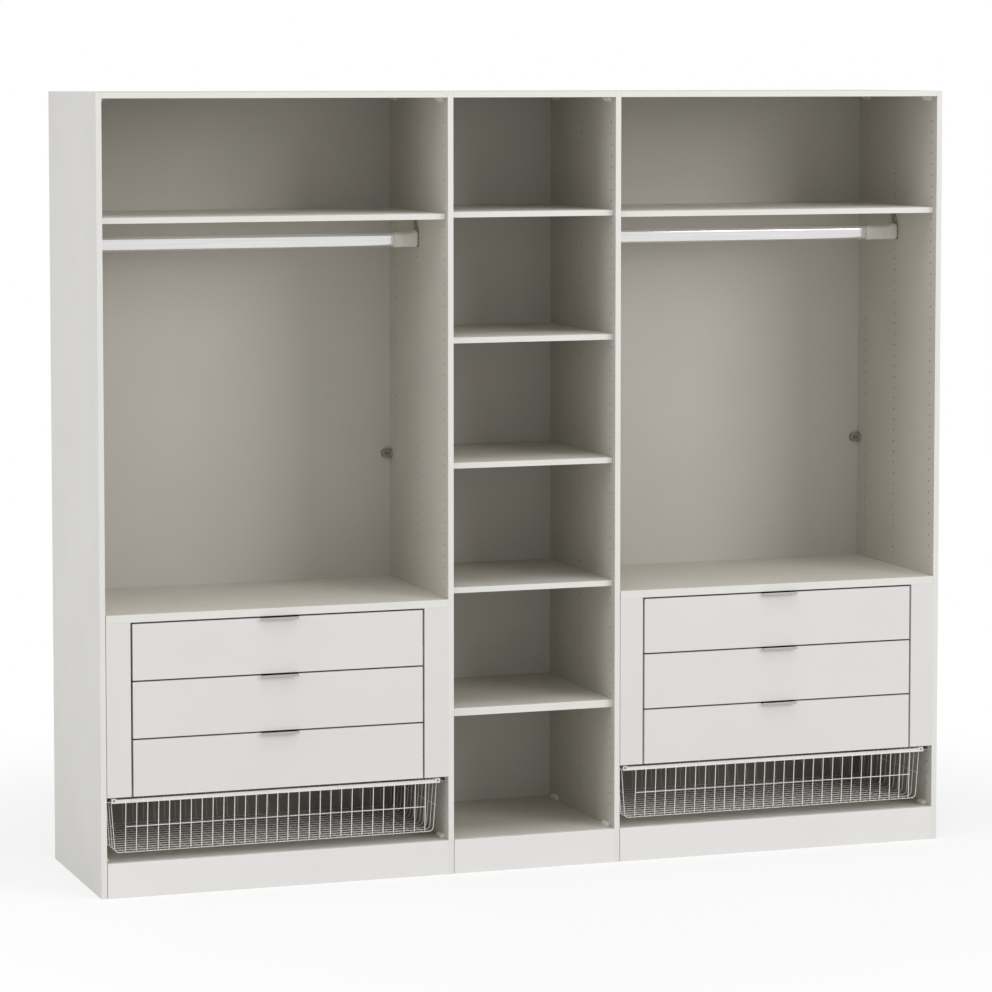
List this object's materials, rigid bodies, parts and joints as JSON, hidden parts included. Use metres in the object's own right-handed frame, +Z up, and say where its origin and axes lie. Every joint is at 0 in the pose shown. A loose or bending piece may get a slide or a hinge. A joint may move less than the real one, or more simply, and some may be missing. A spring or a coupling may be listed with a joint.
{
  "type": "open wardrobe",
  "caption": "Open-front wardrobe with hanging bays on both sides of a shelf bay, hat shelves, oval rails, drawer chests with folded edge pulls and pull-out wire baskets",
  "frame": {"origin": "on the floor under the middle of the whole object's box, pulls included", "axes": "+Z up, the open front faces -Y, +X to the right as seen from the front"},
  "size_m": [2.516, 0.59, 2.2],
  "materials": {
    "white_board": "white melamine-faced chipboard, satin",
    "back_board": "white painted thin fibreboard",
    "drawer_board": "white foil-wrapped board",
    "chrome_tube": "bright chrome",
    "pull_metal": "polished folded steel",
    "white_plastic": "off-white moulded plastic",
    "grey_plastic": "dark grey moulded plastic",
    "steel_pin": "plain steel",
    "white_steel": "white powder coat",
    "white_wire": "white powder-coated steel"
  },
  "bodies": {
    "carcass": {"left_side_panel": "white_board", "left_partition": "white_board", "right_partition": "white_board", "right_side_panel": "white_board", "left_top_panel": "white_board", "left_bottom_panel": "white_board", "left_plinth": "white_board", "centre_top_panel": "white_board", "centre_bottom_panel": "white_board", "centre_plinth": "white_board", "right_top_panel": "white_board", "right_bottom_panel": "white_board", "right_plinth": "white_board", "left_hat_shelf": "white_board", "right_hat_shelf": "white_board", "centre_fixed_shelf": "white_board", "centre_shelf_1": "white_board", "centre_shelf_2": "white_board", "centre_shelf_3": "white_board", "centre_shelf_4": "white_board", "left_back_panel": "back_board", "centre_back_panel": "back_board", "right_back_panel": "back_board", "left_chest_top": "white_board", "left_chest_fillers": "white_board", "left_chest_sides": "white_board", "left_hanging_rail": "chrome_tube", "left_rail_brackets": "white_plastic", "right_chest_top": "white_board", "right_chest_fillers": "white_board", "right_chest_sides": "white_board", "right_hanging_rail": "chrome_tube", "right_rail_brackets": "white_plastic", "corner_connectors": "white_plastic", "back_panel_clamps": "grey_plastic", "shelf_pins": "steel_pin", "drawer_rails": "white_steel", "basket_runners": "white_steel"},
    "left_drawer_1": {"left_drawer_1_front": "white_board", "left_drawer_1_box": "drawer_board", "left_drawer_1_pull": "pull_metal"},
    "left_drawer_2": {"left_drawer_2_front": "white_board", "left_drawer_2_box": "drawer_board", "left_drawer_2_pull": "pull_metal"},
    "left_drawer_3": {"left_drawer_3_front": "white_board", "left_drawer_3_box": "drawer_board", "left_drawer_3_pull": "pull_metal"},
    "left_basket": {"left_basket_rim": "white_wire", "left_basket_wires": "white_wire"},
    "right_drawer_1": {"right_drawer_1_front": "white_board", "right_drawer_1_box": "drawer_board", "right_drawer_1_pull": "pull_metal"},
    "right_drawer_2": {"right_drawer_2_front": "white_board", "right_drawer_2_box": "drawer_board", "right_drawer_2_pull": "pull_metal"},
    "right_drawer_3": {"right_drawer_3_front": "white_board", "right_drawer_3_box": "drawer_board", "right_drawer_3_pull": "pull_metal"},
    "right_basket": {"right_basket_rim": "white_wire", "right_basket_wires": "white_wire"}
  },
  "joints": [
    {"name": "left_drawer_1_slide", "type": "slide", "parent": "carcass", "child": "left_drawer_1", "axis": [0, -1, 0], "range_m": [0, 0.36]},
    {"name": "left_drawer_2_slide", "type": "slide", "parent": "carcass", "child": "left_drawer_2", "axis": [0, -1, 0], "range_m": [0, 0.36]},
    {"name": "left_drawer_3_slide", "type": "slide", "parent": "carcass", "child": "left_drawer_3", "axis": [0, -1, 0], "range_m": [0, 0.36]},
    {"name": "left_basket_slide", "type": "slide", "parent": "carcass", "child": "left_basket", "axis": [0, -1, 0], "range_m": [0, 0.35]},
    {"name": "right_drawer_1_slide", "type": "slide", "parent": "carcass", "child": "right_drawer_1", "axis": [0, -1, 0], "range_m": [0, 0.36]},
    {"name": "right_drawer_2_slide", "type": "slide", "parent": "carcass", "child": "right_drawer_2", "axis": [0, -1, 0], "range_m": [0, 0.36]},
    {"name": "right_drawer_3_slide", "type": "slide", "parent": "carcass", "child": "right_drawer_3", "axis": [0, -1, 0], "range_m": [0, 0.36]},
    {"name": "right_basket_slide", "type": "slide", "parent": "carcass", "child": "right_basket", "axis": [0, -1, 0], "range_m": [0, 0.35]}
  ]
}
